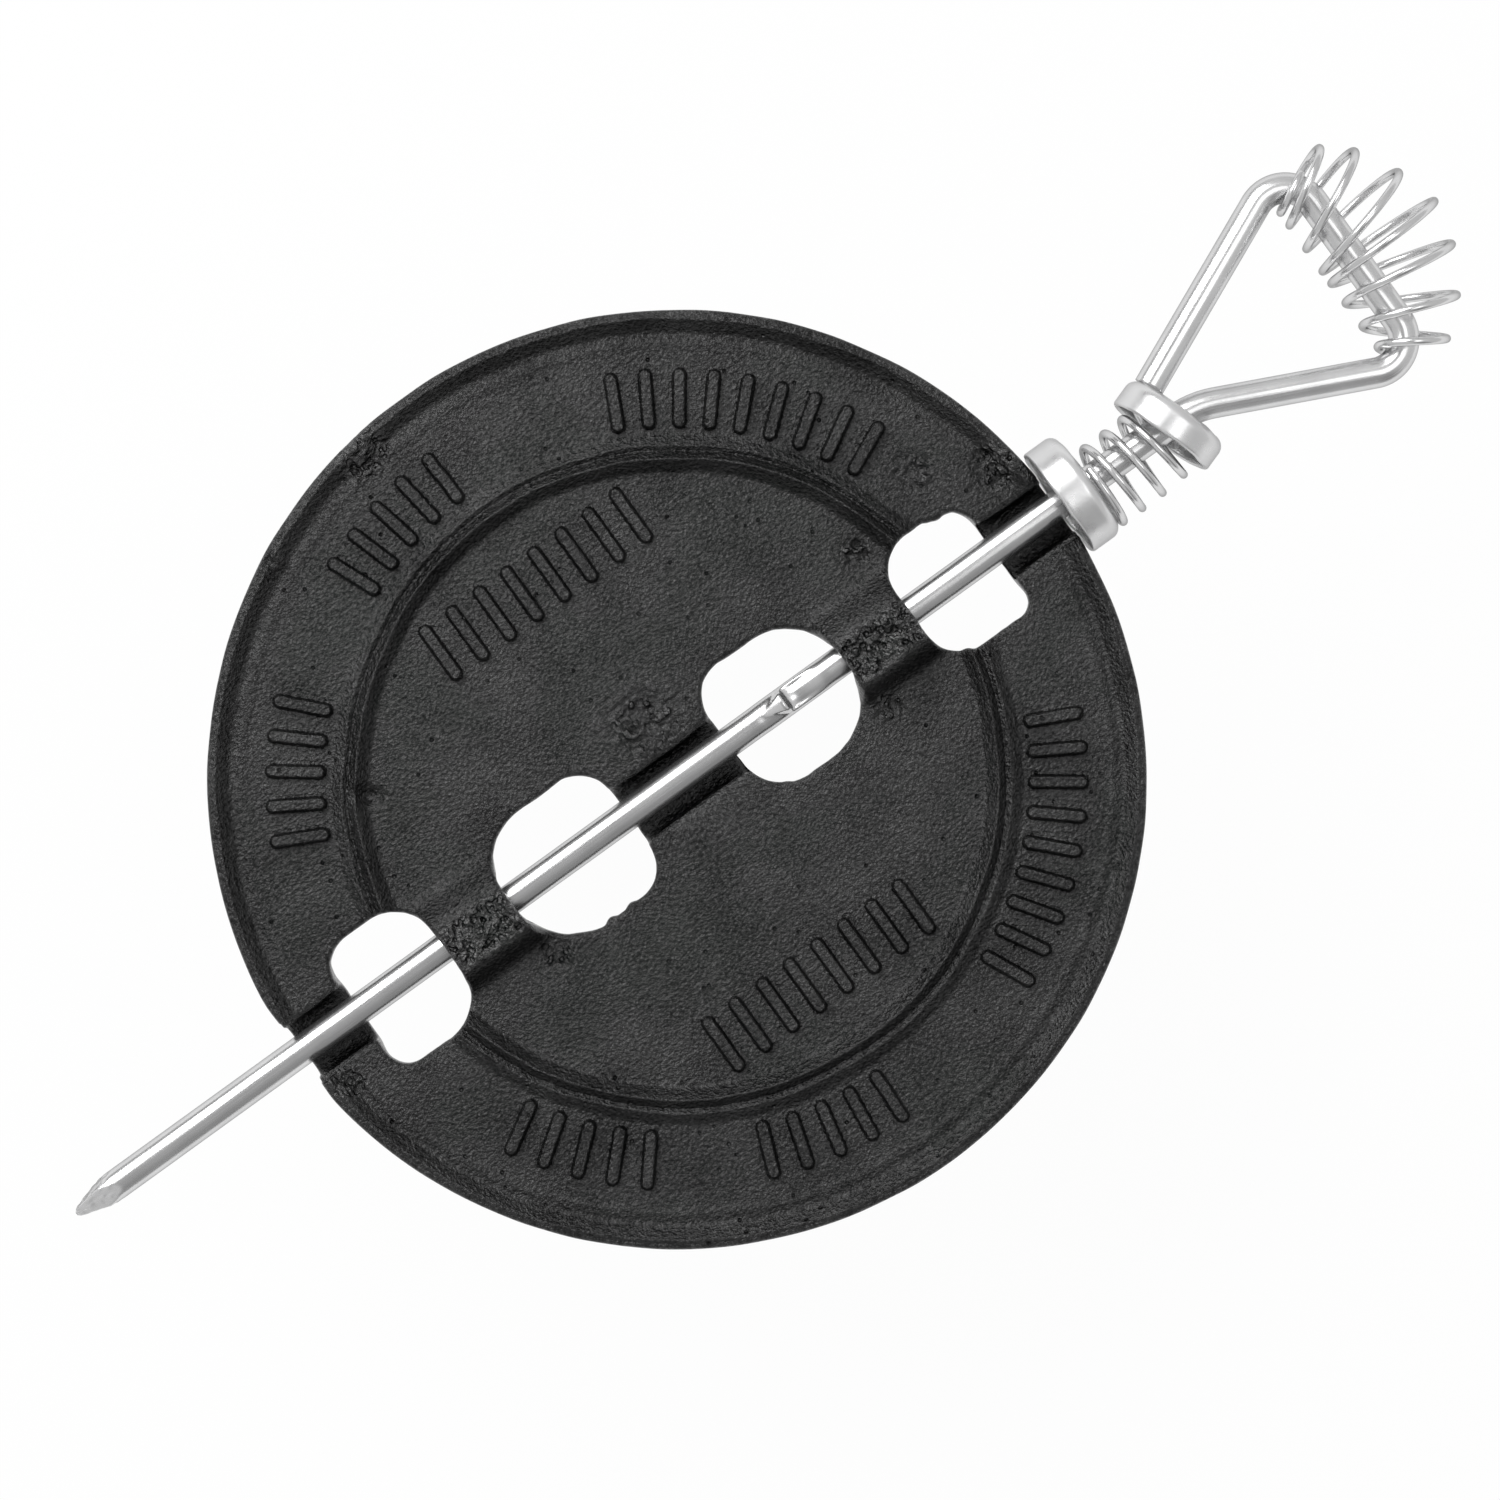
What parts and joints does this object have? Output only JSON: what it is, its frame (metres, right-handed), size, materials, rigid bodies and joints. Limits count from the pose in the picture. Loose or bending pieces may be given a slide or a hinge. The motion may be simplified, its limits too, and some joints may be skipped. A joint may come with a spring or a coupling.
{
  "type": "stovepipe damper",
  "caption": "Round cast-iron flue damper plate woven onto a bent wire rod, with a tension spring between two cups and a coil grip on the handle.",
  "frame": {"origin": "middle of the plate, on the rod's axis, half way through the plate's thickness", "axes": "+X along the rod towards the handle, +Y across the rod in the plane of the plate, +Z out of the plate's front face, which is the flue's direction when it is shut"},
  "size_m": [0.2182, 0.1206, 0.0178],
  "materials": {
    "damper_plate": "sand-cast, semi-gloss black stove paint",
    "damper_rod": "bright nickel-plated wire",
    "pipe_collar": "bright nickel-plated pressing",
    "tension_spring": "bright plated spring wire",
    "handle_collar": "bright nickel-plated pressing",
    "grip_spring": "bright plated spring wire"
  },
  "bodies": {
    "pipe_collar": {"pipe_collar": "pipe_collar"},
    "spring": {"tension_spring": "tension_spring"},
    "rod": {"damper_rod": "damper_rod", "handle_collar": "handle_collar", "grip_spring": "grip_spring"},
    "plate": {"damper_plate": "damper_plate"}
  },
  "joints": [
    {"name": "damper_turn", "type": "hinge", "parent": "pipe_collar", "child": "spring", "pos_m": [0.06062, 0, 0], "axis": [1, 0, 0], "continuous": true},
    {"name": "handle_push", "type": "slide", "parent": "spring", "child": "rod", "axis": [-1, 0, 0], "range_m": [0, 0.007], "stiffness_N_per_m": 3600, "springref_m": -0.002, "deforming": ["tension_spring"]},
    {"name": "plate_shift", "type": "slide", "parent": "rod", "child": "plate", "axis": [-1, 0, 0], "range_m": [0, 0.009]}
  ]
}
